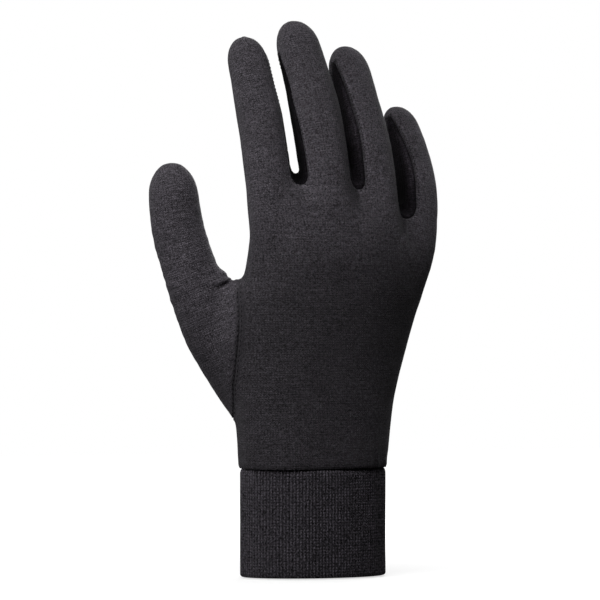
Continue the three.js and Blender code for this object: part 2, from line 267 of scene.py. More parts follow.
def extruded(bm, spot, edges, rings):
    """Extrudes a ring of edges through rings of points, and gives the last ring's edges."""
    for ring in rings:
        grown = bmesh.ops.extrude_edge_only(bm, edges=edges)["geom"]
        edges = [item for item in grown if isinstance(item, bmesh.types.BMEdge)]
        for item in grown:
            if isinstance(item, bmesh.types.BMVert):
                item.co = ring[item[spot]]
    return edges


def ring_form(bm, rings):
    """A closed form that runs through rings of points: one circle, extruded ring by ring."""
    spot = bm.verts.layers.int.get("spot") or bm.verts.layers.int.new("spot")
    sides = len(rings[0])
    start = bmesh.ops.create_circle(bm, cap_ends=True, segments=sides, radius=1)["verts"]
    for j, vert in enumerate(start):
        vert[spot] = j
        vert.co = rings[0][j]
    edges = list(dict.fromkeys(edge for vert in start for edge in vert.link_edges))
    bmesh.ops.holes_fill(bm, edges=extruded(bm, spot, edges, rings[1:]), sides=0)


def palm_at(up):
    wrist, radial, ulnar, back, front, arch, drop = table_row(PALM_SHAPE, up)
    return {
        "z": HAND_BOTTOM + up * PALM_HEIGHT,
        "radial": radial * RADIAL_REACH + wrist * CUFF_WIDTH / 2,
        "ulnar": ulnar * ULNAR_REACH + wrist * CUFF_WIDTH / 2,
        "back": back * PALM_DEPTH + wrist * CUFF_DEPTH / 2,
        "front": front * PALM_DEPTH + wrist * CUFF_DEPTH / 2,
        "arch": arch * PALM_ARCH,
        "drop": drop * ULNAR_DROP,
    }


def palm_rings():
    rings = []
    for up in [PALM_ROOT] + [i / PALM_RINGS for i in range(PALM_RINGS + 1)]:
        size = palm_at(max(up, 0))
        height = size["z"] + min(up, 0) * PALM_HEIGHT
        centre = Vector(((size["ulnar"] - size["radial"]) / 2, 0, height))
        half = (size["radial"] + size["ulnar"]) / 2
        rings.append(oval(
            centre, ACROSS_HAND, TOWARDS_PALM, half, size["back"], size["front"],
            PALM_SQUARENESS, PALM_SIDES, arch=size["arch"], drop=size["drop"],
        ))
    return rings


def finger_frame(finger, distance):
    """The middle of a finger, and the ways it faces, at a distance from its knuckle."""
    _, across_share, up, length, _, depth, lean, curl, roll = finger
    palm = palm_at(up)
    bulge = (1 - abs(across_share) ** PALM_SQUARENESS) ** (1 / PALM_SQUARENESS)
    centre = Vector((
        (palm["ulnar"] - palm["radial"]) / 2 + across_share * (palm["ulnar"] + palm["radial"]) / 2,
        palm["arch"] * (across_share ** 2 - 0.5) - palm["back"] * bulge + depth / 2,
        palm["z"],
    ))

    def facing(at):
        share = min(max(at / length, 0), 1)
        side = math.radians(mix(lean[0], lean[1], share))
        bend = math.radians(mix(curl[0], curl[1], share))
        along = Vector((
            math.sin(side) * math.cos(bend), math.sin(bend), math.cos(side) * math.cos(bend),
        ))
        through = Vector((
            -math.sin(side) * math.sin(bend), math.cos(bend), -math.cos(side) * math.sin(bend),
        ))
        return along, through

    steps = math.ceil(abs(distance))
    for i in range(steps):
        centre += facing((i + 0.5) * distance / steps)[0] * (distance / steps)
    along, through = facing(distance)
    through.rotate(Matrix.Rotation(math.radians(roll), 3, along))
    return centre, along, through, through.cross(along)


def tip_rings(start, round_length):
    """How far along a round tip its rings are, and their girth there."""
    return [
        (start + round_length * math.sin(math.radians(turn)), math.cos(math.radians(turn)))
        for turn in TIP_TURNS
    ]


def finger_rings(finger):
    length, width, depth = finger[LENGTH:LENGTH + 3]
    round_length = width * TIP_ROUND_SHARE
    start = length - round_length
    low = FINGER_SHAPE[0][0] * length
    places = [(mix(low, start, i / FINGER_RINGS), 1) for i in range(FINGER_RINGS)]
    places += tip_rings(start, round_length)
    rings = []
    for at, girth in places:
        wide, deep = table_row(FINGER_SHAPE, at / length)
        centre, along, through, across = finger_frame(finger, at)
        thick = deep * depth / 2 * girth
        rings.append(oval(
            centre, across, through, wide * width / 2 * girth, thick, thick,
            FINGER_SQUARENESS, ROUND_SIDES,
        ))
    return rings


def thumb_curve(steps=240):
    """Points on the smooth curve through the thumb's table, each with its width, depth and turn."""
    points = [
        Vector((-row[0] * THUMB_OUT, row[1] * THUMB_FORWARD, HAND_BOTTOM + row[2] * THUMB_UP))
        for row in THUMB_SHAPE
    ]
    points = [points[0] * 2 - points[1]] + points + [points[-1] * 2 - points[-2]]
    line = []
    for n in range(steps + 1):
        place = n / steps * (len(THUMB_SHAPE) - 1)
        i = min(int(place), len(THUMB_SHAPE) - 2)
        share = place - i
        p0, p1, p2, p3 = points[i:i + 4]
        d0 = (p1 - p0).length ** 0.5
        d1 = (p2 - p1).length ** 0.5
        d2 = (p3 - p2).length ** 0.5
        pull1 = ((p1 - p0) / d0 - (p2 - p0) / (d0 + d1) + (p2 - p1) / d1) * d1
        pull2 = ((p2 - p1) / d1 - (p3 - p1) / (d1 + d2) + (p3 - p2) / d2) * d1
        point = p1 + pull1 * share
        point += (p2 * 3 - p1 * 3 - pull1 * 2 - pull2) * share ** 2
        point += (p1 * 2 - p2 * 2 + pull1 + pull2) * share ** 3
        girth = [mix(THUMB_SHAPE[i][k], THUMB_SHAPE[i + 1][k], share) for k in (3, 4, 5)]
        line.append((point, girth))
    return line


def thumb_frames(step=1.0):
    """Frames of the thumb's middle line at even distances from its root."""
    line = thumb_curve()
    travelled = [0]
    for (a, _), (b, _) in zip(line, line[1:]):
        travelled.append(travelled[-1] + (b - a).length)
    total = travelled[-1]
    count = int(total / step)
    frames = []
    k = 0
    for n in range(count + 1):
        at = n / count * total
        while k < len(line) - 2 and travelled[k + 1] < at:
            k += 1
        share = (at - travelled[k]) / (travelled[k + 1] - travelled[k])
        centre = line[k][0].lerp(line[k + 1][0], share)
        girth = [mix(a, b, share) for a, b in zip(line[k][1], line[k + 1][1])]
        along = (line[k + 1][0] - line[k][0]).normalized()
        turn = math.radians(girth[2])
        facing = Vector((math.cos(turn), math.sin(turn), 0))
        through = along.cross(facing).normalized()
        across = through.cross(along).normalized()
        frames.append((at, centre, along, through, across, girth))
    return frames, total


def thumb_rings(frames, total):
    round_length = THUMB_WIDTH * THUMB_ROUND_SHARE
    start = total - round_length
    places = [(start * i / THUMB_RINGS, 1) for i in range(THUMB_RINGS)]
    places += tip_rings(start, round_length)
    rings = []
    for at, narrowing in places:
        k = round(at / total * (len(frames) - 1))
        _, centre, _, through, across, girth = frames[k]
        half = girth[0] * THUMB_WIDTH / 2 * narrowing
        thick = girth[1] * THUMB_DEPTH / 2 * narrowing
        rings.append(oval(
            centre, across, through, half, thick, thick, THUMB_SQUARENESS, ROUND_SIDES,
        ))
    return rings


def web_rings(stations):
    """A web of cloth between two middle lines, up to a crotch that is round and sags."""
    a, b, depth = stations[-1]
    for turn in WEB_TURNS:
        rise = Vector((0, 0, WEB_ROUND * math.sin(math.radians(turn))))
        stations = stations + [(a + rise, b + rise, depth * math.cos(math.radians(turn)))]
    rings = []
    for a, b, depth in stations:
        across = (b - a).to_3d()
        across.z = 0
        across.normalize()
        through = Vector((0, 0, 1)).cross(across)
        centre = (a + b) / 2
        centre.z = a.z
        thick = max(depth / 2, WEB_LEAST)
        rings.append(oval(
            centre, across, through, (a - b).length / 2, thick, thick,
            PALM_SQUARENESS, ROUND_SIDES, lift=WEB_SAG,
        ))
    return rings


def finger_at(finger, z):
    """How far from a finger's knuckle its middle line reaches a height."""
    distance = z - HAND_BOTTOM - finger[UP] * PALM_HEIGHT
    for _ in range(4):
        distance += z - finger_frame(finger, distance)[0].z
    return distance


def finger_web_rings(first, second, crotch):
    top = HAND_BOTTOM + crotch * PALM_HEIGHT - WEB_ROUND
    low = HAND_BOTTOM + min(first[UP], second[UP]) * PALM_HEIGHT
    stations = []
    for i in range(FINGER_WEB_RINGS + 1):
        z = mix(low, top, i / FINGER_WEB_RINGS)
        a = finger_frame(first, finger_at(first, z))[0]
        b = finger_frame(second, finger_at(second, z))[0]
        a.z = z
        b.z = z
        stations.append((a, b, WEB_DEPTH))
    return web_rings(stations)


def thumb_web_rings(frames):
    stations = []
    for i in range(THUMB_WEB_RINGS + 1):
        up = mix(THUMB_WEB[0][0], THUMB_WEB[-1][0], i / THUMB_WEB_RINGS)
        depth, reach = table_row(THUMB_WEB, up)
        palm = palm_at(up)
        a = min(frames, key=lambda item: abs(item[1].z - palm["z"]))[1].copy()
        a.z = palm["z"]
        b = Vector((reach * RADIAL_REACH - palm["radial"], 0, palm["z"]))
        stations.append((a, b, depth * THUMB_WEB_DEPTH))
    return web_rings(stations)


def object_of(bm, name):
    mesh = bpy.data.meshes.new(name)
    bm.to_mesh(mesh)
    bm.free()
    piece = bpy.data.objects.new(name, mesh)
    bpy.context.scene.collection.objects.link(piece)
    return piece


def in_metres(bm, name):
    """The object of a mesh that was made in millimetres, shaded smooth."""
    bmesh.ops.scale(bm, vec=(MM, MM, MM), verts=bm.verts)
    for face in bm.faces:
        face.smooth = True
    return object_of(bm, name)


def apply_modifiers(piece):
    graph = bpy.context.evaluated_depsgraph_get()
    mesh = bpy.data.meshes.new_from_object(piece.evaluated_get(graph))
    piece.modifiers.clear()
    old = piece.data
    piece.data = mesh
    bpy.data.meshes.remove(old)
    mesh.name = piece.name


def smooth_out(bm, verts, passes):
    for _ in range(passes):
        bmesh.ops.smooth_vert(
            bm, verts=verts, factor=0.5, use_axis_x=True, use_axis_y=True, use_axis_z=True)


# The skin of the whole hand, all in one: every form closed and overlapping, then fused.
thumb_line, thumb_length = thumb_frames()
bm = bmesh.new()
ring_form(bm, palm_rings())
ring_form(bm, thumb_rings(thumb_line, thumb_length))
ring_form(bm, thumb_web_rings(thumb_line))
for finger in FINGERS:
    ring_form(bm, finger_rings(finger))
for i, crotch in enumerate(CROTCHES):
    ring_form(bm, finger_web_rings(FINGERS[i], FINGERS[i + 1], crotch))
bmesh.ops.recalc_face_normals(bm, faces=bm.faces)
bmesh.ops.scale(bm, vec=(MM, MM, MM), verts=bm.verts)
skin = object_of(bm, "skin")
fusing = skin.modifiers.new("fuse", "REMESH")
fusing.mode = "VOXEL"
fusing.voxel_size = WEAVE_CELL * MM
fusing.adaptivity = 0
apply_modifiers(skin)

bm = bmesh.new()
bm.from_mesh(skin.data)
bmesh.ops.scale(bm, vec=(1 / MM, 1 / MM, 1 / MM), verts=bm.verts)
smooth_out(bm, bm.verts, SMOOTHINGS)
WRIST_EDGE = HAND_BOTTOM - WRIST_OVERLAP
bmesh.ops.bisect_plane(
    bm, geom=bm.verts[:] + bm.edges[:] + bm.faces[:], plane_co=(0, 0, WRIST_EDGE),
    plane_no=(0, 0, -1), clear_outer=True,
)


class Line:
    """A middle line as arrays, which finds where points lie along and around it."""

    def __init__(self, frames):
        self.at = np.array([f[0] for f in frames])
        self.centre = np.array([f[1] for f in frames])
        self.along = np.array([f[2] for f in frames])
        self.through = np.array([f[3] for f in frames])
        self.across = np.array([f[4] for f in frames])

    def local(self, points):
        """Each point's distance along the line, its place across and through there, its gap to
        the line's nearest frame, and which frame that is."""
        gap = ((points[:, None, :] - self.centre[None, :, :]) ** 2).sum(-1)
        nearest = gap.argmin(1)
        offset = points - self.centre[nearest]
        at = self.at[nearest] + (offset * self.along[nearest]).sum(1)
        across = (offset * self.across[nearest]).sum(1)
        through = (offset * self.through[nearest]).sum(1)
        return at, across, through, np.sqrt(gap[np.arange(len(nearest)), nearest]), nearest


def finger_line(finger):
    low = int(FINGER_SHAPE[0][0] * finger[LENGTH])
    return Line([(at, *finger_frame(finger, at)) for at in range(low, int(finger[LENGTH]) + 1)])


finger_lines = [finger_line(finger) for finger in FINGERS]
thumb_middle = Line([item[:5] for item in thumb_line])


def points_of(bm):
    return np.array([vert.co for vert in bm.verts])


def strip_place(points, i):
    """Where points are on the side strip between fingers i and i + 1: how far along it, from 0 at
    its root to 1 at its tips, how far off its middle, how far past each finger's own middle, and
    how much less of it is on the back."""
    sides = []
    bottom = HAND_BOTTOM + CROTCHES[i] * PALM_HEIGHT - STRIP_ROOT_BELOW
    for k in (i, i + 1):
        root = finger_at(FINGERS[k], bottom)
        line = finger_lines[k]
        at, across, _, _, nearest = line.local(points)
        share = (at - root) / (FINGERS[k][LENGTH] * STRIP_REACH - root)
        sides.append((share, across, line.centre[nearest], line.through[nearest]))
    (share_a, across_a, centre_a, facing_a), (share_b, across_b, centre_b, facing_b) = sides
    gap = centre_b - centre_a
    t = np.clip(((points - centre_a) * gap).sum(1) / (gap * gap).sum(1), 0, 1)
    share = mix(share_a, share_b, t)
    facing = mix(facing_a, facing_b, t[:, None])
    facing /= np.linalg.norm(facing, axis=1)[:, None]
    through = ((points - centre_a - t[:, None] * gap) * facing).sum(1)
    return share, through, -across_a, across_b, mix(*STRIP_LEAN[i], t)


def strip_field(points, i):
    """Below 0 on the side strip between fingers i and i + 1, and above 0 elsewhere."""
    share, through, past_first, past_second, lean = strip_place(points, i)
    taper = np.clip((share - STRIP_TAPER_FROM) / (1 - STRIP_TAPER_FROM), 0, 1) ** STRIP_TAPER_POWER
    half = mix(STRIP_WIDTH, STRIP_POINT, taper) / 2
    limits = [
        through - half, -through - half * (1 - lean), past_first, past_second,
        (share - 1) * STRIP_LENGTH, (STRIP_START - share) * STRIP_LENGTH,
    ]
    return np.max(limits, axis=0)


def thumb_field(points):
    """Below 0 on the thumb's side of its seam."""
    up = (points[:, 2] - HAND_BOTTOM) / PALM_HEIGHT
    places, backs, palms = zip(*THUMB_SEAM)
    back = np.interp(up, places, backs)
    palm = np.interp(up, places, palms)
    forward = np.clip(points[:, 1] / (PALM_DEPTH / 2), 0, 1)
    reach = points[:, 0] + RADIAL_REACH * mix(back, palm, forward)
    return np.maximum(reach, (places[0] - up) * PALM_HEIGHT)


# How far from a cut the mesh is made finer, and the share of an edge within which its end is moved
CUT_BAND = 2.2
CUT_SNAP = 0.25


def cut_along(bm, field):
    """Cuts the mesh along the line where the field is 0."""
    near = [abs(value) < CUT_BAND for value in field(points_of(bm))]
    bm.verts.ensure_lookup_table()
    bm.verts.index_update()
    edges = [e for e in bm.edges if near[e.verts[0].index] and near[e.verts[1].index]]
    bmesh.ops.subdivide_edges(bm, edges=edges, cuts=1, use_grid_fill=True)
    bm.verts.index_update()
    values = field(points_of(bm))
    mixed = []
    for face in bm.faces:
        signs = {values[vert.index] > 0 for vert in face.verts}
        if len(signs) == 2 or len(face.verts) > 4:
            mixed.append(face)
    bmesh.ops.triangulate(bm, faces=mixed)
    bm.verts.index_update()
    bm.verts.ensure_lookup_table()
    value = list(field(points_of(bm)))
    # Points that lie close to the line are first moved onto it, so that no sliver is cut.
    for vert in list(bm.verts):
        here = value[vert.index]
        best = None
        for edge in vert.link_edges:
            other = edge.other_vert(vert)
            there = value[other.index]
            if here * there < 0:
                share = here / (here - there)
                if share < CUT_SNAP and (best is None or share < best[0]):
                    best = (share, other)
        if best:
            vert.co = vert.co.lerp(best[1].co, best[0])
            value[vert.index] = 0
    for edge in list(bm.edges):
        a, b = edge.verts
        if value[a.index] * value[b.index] < 0:
            share = value[a.index] / (value[a.index] - value[b.index])
            _, middle = bmesh.utils.edge_split(edge, a, share)
            middle.index = len(value)
            value.append(0)
    for face in list(bm.faces):
        on_line = [vert for vert in face.verts if value[vert.index] == 0]
        if len(on_line) == 2 and bm.edges.get(on_line) is None:
            bmesh.utils.face_split(face, on_line[0], on_line[1])
    bm.verts.index_update()
    bm.verts.ensure_lookup_table()


# How the fingers' own measure of the cloth fades into the palm's and each other's
KNUCKLE_FADE = (-4, 14)
THUMB_FADE = (-2, 3)
FINGER_RADIUS = 9
NEIGHBOUR_REACH = 3.0


def cloth_measure(points, normals):
    """Where each point lies across, through and along its own part of the hand, in millimetres,
    and how far its cloth faces sideways there, from 0 to 1."""
    measure = points.copy()
    sideways = np.tile(np.array(ACROSS_HAND), (len(points), 1))
    lines = finger_lines + [thumb_middle]
    found = [line.local(points) for line in lines]
    weights = [
        bell(np.maximum(gap, FINGER_RADIUS), FINGER_RADIUS, NEIGHBOUR_REACH)
        for _, _, _, gap, _ in found
    ]
    thumb_side = 1 - smooth_step(*THUMB_FADE, thumb_field(points))
    total = sum(weights[:-1]) + 1e-9
    for line, weight, (at, across, through, _, nearest) in zip(lines, weights, found):
        root = line.centre[np.abs(line.at).argmin()]
        own = np.stack([across + root[0], through + root[1], at + root[2]], 1)
        if line is thumb_middle:
            share = thumb_side
        else:
            share = weight / total * smooth_step(*KNUCKLE_FADE, at) * (1 - thumb_side)
        measure += share[:, None] * (own - points)
        sideways += share[:, None] * (line.across[nearest] - np.array(ACROSS_HAND))
    sideways /= np.linalg.norm(sideways, axis=1)[:, None]
    return measure, np.abs((sideways * normals).sum(1))


def refine_near(bm, place, reach):
    """Halves the mesh within reach of a place."""
    edges = [e for e in bm.edges if ((e.verts[0].co + e.verts[1].co) / 2 - place).length < reach]
    bmesh.ops.subdivide_edges(bm, edges=edges, cuts=1, use_grid_fill=True)


# The pleats that the cloth is drawn into beside the crotch of the thumb
THUMB_CROTCH = Vector((-35, 3, 134.3))
# angle up from straight across, how far it starts and ends, width, height; on the back face
PLEATS = [
    (196, 1.0, 13, 1.25, 0.75),
    (209, 1.5, 14, 0.9, -0.62),
    (176, 3.0, 15, 1.3, -0.55),
    (226, 2.0, 12, 1.3, 0.32),
    (241, 3.0, 13, 1.2, -0.25),
    (298, 3.0, 15, 1.6, 0.22),
]

# How far a pleat fades in before its start and past it, and before its end
PLEAT_START = (-2, 1.5)
PLEAT_END = 8
PLEAT_REACH = 26

# The crotch of the thumb: where its mesh is finer and smoother, and where it is filled and deepened
CROTCH_FINER = [17, 11]
CROTCH_SMOOTH = 15
CROTCH_SMOOTHINGS = 6
INTO_GAP = np.array(camera_right * 0.88 + Vector((0, 0, 0.45)))
# height, across, up, radius
CROTCH_FILL = (3.3, -8.3, -0.6, 3.7)
CROTCH_DEEPENING = (1.2, 0.5, 0, 4.6)

# Slack in the cloth: its height, and its length in each direction
SWELL = (0.30, 17)
FINE_SWELL = (0.10, (26, 9, 5.5))
FINE_SWELL_START = (7, 3, 1)
RIPPLE = (0.42, (11, 11, 3.1))
# Where on the thumb the ripples are highest, and how far they reach
RIPPLE_PLACE = (80, 46)
THUMB_SLACK_FADE = (-3, 2)

# The gathers at the hand's lower edge: how high they are, and most where they bunch
GATHER_HEIGHT = 6.5
GATHER_PITCH = 3.3
GATHER_SHIFT = 1.2
GATHER = (0.07, 0.30)
BUNCH = (29, 8)

UPWARDS = np.array([[0, 0, 1]])
RIGHT = np.array(camera_right)

for reach in CROTCH_FINER:
    refine_near(bm, THUMB_CROTCH, reach)
bm.normal_update()


def from_thumb_crotch(points):
    """How far to the right of the thumb's crotch and above it each point is seen."""
    return points @ RIGHT - THUMB_CROTCH @ camera_right, points[:, 2] - THUMB_CROTCH.z


def bump(u, z, height, across, up, radius):
    return height * np.exp(-((u - across) ** 2 + (z - up) ** 2) / radius ** 2)


def crotch_rounding(points):
    """How far each point near the thumb's crotch is drawn, to round it and deepen its seam."""
    u, z = from_thumb_crotch(points)
    filled = bump(u, z, *CROTCH_FILL)
    return filled[:, None] * INTO_GAP - bump(u, z, *CROTCH_DEEPENING)[:, None] * UPWARDS


def noise_at(point, lengths, start=(0, 0, 0)):
    """Soft noise that is as long as lengths say in each direction."""
    return noise.noise(
        Vector([place / length for place, length in zip(point, lengths)]) + Vector(start))


def fold_heights(points):
    """How far each point of the cloth is pushed out by folds, pleats and slack."""
    push = np.zeros(len(points))
    u, z = from_thumb_crotch(points)
    reach = np.hypot(u, z)
    angle = np.degrees(np.arctan2(z, u)) % 360
    outer = np.abs(points[:, 1]) < PLEAT_REACH
    for turn, start, end, width, height in PLEATS:
        off = reach * np.sin(np.radians(angle - turn))
        ahead = reach * np.cos(np.radians(angle - turn))
        along = smooth_step(start + PLEAT_START[0], start + PLEAT_START[1], ahead)
        along *= 1 - smooth_step(end - PLEAT_END, end, ahead)
        push += height * along * bell(off, 0, width) * outer
    # Slack across the thumb, in short soft ripples
    at, across, through, _, _ = thumb_middle.local(points)
    on_thumb = 1 - smooth_step(*THUMB_SLACK_FADE, thumb_field(points))
    for k, point in enumerate(points):
        slow = noise.noise(Vector(point) / SWELL[1])
        fine = noise_at(point, FINE_SWELL[1], FINE_SWELL_START)
        push[k] += SWELL[0] * slow + FINE_SWELL[0] * fine
        if on_thumb[k] > 0:
            ripple = noise_at((across[k], through[k], at[k]), RIPPLE[1])
            low = 1 - abs(at[k] - RIPPLE_PLACE[0]) / RIPPLE_PLACE[1]
            push[k] += RIPPLE[0] * ripple * on_thumb[k] * max(low, 0)
    # The hand's lower edge is gathered a little where it is sewn to the cuff
    low = bell(points[:, 2], HAND_BOTTOM, GATHER_HEIGHT)
    right = points @ RIGHT
    gathered = GATHER[0] + GATHER[1] * bell(right, *BUNCH)
    push += low * gathered * np.cos(right * 2 * math.pi / GATHER_PITCH + GATHER_SHIFT)
    return push


for vert, move in zip(bm.verts, crotch_rounding(points_of(bm))):
    vert.co += Vector(move)
crotch_verts = [vert for vert in bm.verts if (vert.co - THUMB_CROTCH).length < CROTCH_SMOOTH]
smooth_out(bm, crotch_verts, CROTCH_SMOOTHINGS)
bm.normal_update()
for vert, push in zip(bm.verts, fold_heights(points_of(bm))):
    vert.co += vert.normal * float(push)

fields = [lambda points, i=i: strip_field(points, i) for i in range(3)] + [thumb_field]
for field in fields:
    cut_along(bm, field)

PANELS = [
    "side_strip_index_middle", "side_strip_middle_ring", "side_strip_ring_little", "thumb", "hand",
]
THUMB = PANELS.index("thumb")
HAND = PANELS.index("hand")
panel_of = bm.faces.layers.int.new("panel")
bm.faces.ensure_lookup_table()
middles = np.array([face.calc_center_median() for face in bm.faces])
chosen = np.full(len(middles), HAND)
for k, field in enumerate(fields):
    chosen[(field(middles) < 0) & (chosen == HAND)] = k
for face, k in zip(bm.faces, chosen):
    face[panel_of] = int(k)


def islands(bm, layer):
    """Groups of joined faces that are of one panel, the largest first."""
    seen = set()
    groups = []
    for start in bm.faces:
        if start in seen:
            continue
        seen.add(start)
        group = [start]
        for face in group:
            for edge in face.edges:
                for other in edge.link_faces:
                    if other not in seen and other[layer] == face[layer]:
                        seen.add(other)
                        group.append(other)
        groups.append(group)
    return sorted(groups, key=len, reverse=True)


# A panel is its largest island of faces. Any other island goes to the panel beside it.
kept = set()
for group in islands(bm, panel_of):
    k = group[0][panel_of]
    if k in kept:
        near = [
            other[panel_of] for face in group for edge in face.edges for other in edge.link_faces
            if other[panel_of] != k
        ]
        if near:
            for face in group:
                face[panel_of] = max(set(near), key=near.count)
    kept.add(k)

# Seams: the cloth turns in along every line where two panels meet, and at the wrist.
bm.normal_update()
strip_seam = []
thumb_seam = []
for vert in bm.verts:
    joined = {face[panel_of] for face in vert.link_faces}
    if len(joined) > 1:
        (thumb_seam if THUMB in joined else strip_seam).append(vert.co.copy())


# Painted light and shade: how light the hand's cloth is painted at each height
TONE_HEIGHTS = [50, 79, 120, 140, 158, 175, 195, 210, 240]
PAINTED_HEIGHT_TONES = [0.70, 0.67, 0.58, 0.78, 1.06, 1.12, 1.02, 0.93, 0.84]
# How much painted shade darkens the palm towards the little finger, between which places and
# heights
FAR_PAINTED_SHADE = 0.35
FAR_PLACE = (18, 46)
FAR_HEIGHT = (115, 160)
# How much painted light brightens the thumb beyond its knuckle, where and how far
THUMB_PAINTED_LIGHT = 0.4
THUMB_PAINTED_LIGHT_PLACE = (98, 24)
THUMB_TONE_FADE = (-3, 4)
# Painted shade between the fingers: how light each side strip is, and how dark the finger before it
# is painted at its edge
STRIP_PAINTED_TONE = [0.22, 0.75, 0.85]
EDGE_PAINTED_SHADE = [0.3, 0.75, 0.75]
# How light a strip is painted from its root to its tips, and how much of that is left deep inside
STRIP_PAINTED_LIGHT = (0.6, 2.9)
STRIP_DEPTH_PAINTED_LIGHT = (0.08, 0.2)
# Where those change: along the strip, into it, over its edge, above its root, at a finger's edge
STRIP_ALONG = (0.2, 0.8)
STRIP_INWARD = (-6.5, -1.5)
STRIP_EDGE = (0.4, -0.8)
ABOVE_ROOT = (-0.1, 0.1)
FINGER_EDGE = (2.5, 10)


def painted_cloth_tones(points, across_view):
    """How light the cloth is painted, as painted light and shade: lighter or darker by height,
    darker towards the little finger, lighter on the thumb, and darkest deep between the fingers."""
    z = points[:, 2]
    at, _, _, _, _ = thumb_middle.local(points)
    on_thumb = 1 - smooth_step(*THUMB_TONE_FADE, thumb_field(points))
    tone = mix(np.interp(z, TONE_HEIGHTS, PAINTED_HEIGHT_TONES), 1, on_thumb)
    far = smooth_step(*FAR_PLACE, across_view) * (1 - smooth_step(*FAR_HEIGHT, z))
    tone *= 1 - FAR_PAINTED_SHADE * far * (1 - on_thumb)
    tone *= 1 + THUMB_PAINTED_LIGHT * on_thumb * bell(at, *THUMB_PAINTED_LIGHT_PLACE)
    for i in range(3):
        share, through, past_first, past_second, _ = strip_place(points, i)
        within = smooth_step(*STRIP_EDGE, strip_field(points, i))
        out = smooth_step(*STRIP_ALONG, share)
        left_inside = mix(1, mix(*STRIP_DEPTH_PAINTED_LIGHT, out), smooth_step(*STRIP_INWARD, through))
        deep = STRIP_PAINTED_TONE[i] * mix(*STRIP_PAINTED_LIGHT, out) * left_inside
        # Painted shade: a finger is painted darker on its side towards the little finger, above the
        # crotch
        on_first = smooth_step(1, -1, past_second - past_first) * smooth_step(*ABOVE_ROOT, share)
        turned = EDGE_PAINTED_SHADE[i] * on_first * smooth_step(*FINGER_EDGE, -past_first)
        tone *= (1 - within * (1 - deep)) * (1 - turned * (1 - within))
    return tone


def nearest_gap(points, targets):
    """How far each point is from the nearest of the targets."""
    tree = KDTree(len(targets))
    for i, target in enumerate(targets):
        tree.insert(target, i)
    tree.balance()
    return np.array([tree.find(point)[2] for point in points])


# How a seam's cloth stands up in a ridge, where and how wide, and how deep and wide its groove is
STRIP_SINK = (0.24, 1.4, 0.8, 0.5, 0.6)
THUMB_SINK = (0.1, 1.3, 0.9, 0.26, 0.55)
WRIST_SINK = (0.1, 1.6, 1.3, 0.3, 0.6)
THUMB_SINK_FADE = (2, 9)
# The wrist seam rises a little, but dips where the hand bends: where and how wide, and how high up
WRIST_RISE = 0.2
WRIST_DIP = 0.5
WRIST_DIP_PLACE = (-13, 24)
WRIST_DIP_HEIGHT = 7
# Where the cloth's own attributes change: the knit's facing, the painted shade along the seams and
# the painted highlight on the ridge beside each strip's seam
FLANK_FADE = (0.6, 0.82)
RIDGE_HIGHLIGHT_PLACE = (1.5, 0.8)
STRIP_SEAM_WIDTH = 0.9
THUMB_SEAM_PAINTED_SHADE = 0.42
THUMB_SEAM_WIDTH = 0.6


def seam_shape(gap, ridge, ridge_place, ridge_width, groove, groove_width):
    """How far the cloth is pushed out or drawn in at a distance from a seam."""
    return ridge * bell(gap, ridge_place, ridge_width) - groove * bell(gap, 0, groove_width)


points = points_of(bm)
normals = np.array([vert.normal for vert in bm.verts])
to_strip = nearest_gap(points, strip_seam)
to_thumb = nearest_gap(points, thumb_seam)
sink = seam_shape(to_strip, *STRIP_SINK)
from_crotch = np.linalg.norm(points - np.array(THUMB_CROTCH), axis=1)
sink += seam_shape(to_thumb, *THUMB_SINK) * smooth_step(*THUMB_SINK_FADE, from_crotch)
above = points[:, 2] - WRIST_EDGE
sink += seam_shape(above, *WRIST_SINK)
measure, flank = cloth_measure(points, normals)
across_view = points @ RIGHT
wrist_dip = WRIST_RISE - WRIST_DIP * bell(across_view, *WRIST_DIP_PLACE)
lift = wrist_dip * bell(above, 0, WRIST_DIP_HEIGHT)
moved = points + normals * sink[:, None] + lift[:, None] * UPWARDS
knit_place = bm.verts.layers.float_vector.new("knit_place")
for k, vert in enumerate(bm.verts):
    vert.co = moved[k]
    vert[knit_place] = measure[k]
# How near each point is to a seam, for the painted shade along the seams
on_strip_seam = bell(to_strip, 0, STRIP_SEAM_WIDTH)
on_thumb_seam = bell(to_thumb, 0, THUMB_SEAM_WIDTH)
shares = {
    "flank": smooth_step(*FLANK_FADE, flank),
    # seam: painted shade along the seams' grooves
    "seam": np.maximum(on_strip_seam, THUMB_SEAM_PAINTED_SHADE * on_thumb_seam),
    # ridge: painted highlight on the raised ridge beside each strip's seam
    "ridge": bell(to_strip, *RIDGE_HIGHLIGHT_PLACE),
    # tone: painted light and shade in the cloth's colour
    "tone": painted_cloth_tones(points, across_view),
}
for name, values in shares.items():
    layer = bm.verts.layers.float.new(name)
    for vert, value in zip(bm.verts, values):
        vert[layer] = float(value)

bm.normal_update()
bm.faces.ensure_lookup_table()


def seam_loop(panel):
    """The longest closed loop of points round a panel, each with the way to the cloth outside."""
    at_vert = {}
    for edge in bm.edges:
        inside = [face[panel_of] == panel for face in edge.link_faces]
        if sorted(inside) == [False, True]:
            for vert in edge.verts:
                at_vert.setdefault(vert, []).append(edge)
    left = dict.fromkeys(at_vert)
    loops = []
    while left:
        vert = next(iter(left))
        loop = []
        while vert in left:
            del left[vert]
            outside = [face for face in vert.link_faces if face[panel_of] != panel]
            away = sum((face.calc_center_median() - vert.co for face in outside), Vector())
            loop.append((vert.co.copy(), away.normalized()))
            ahead = [edge.other_vert(vert) for edge in at_vert[vert]]
            vert = next((other for other in ahead if other in left), vert)
        loops.append(loop)
    return max(loops, key=len)


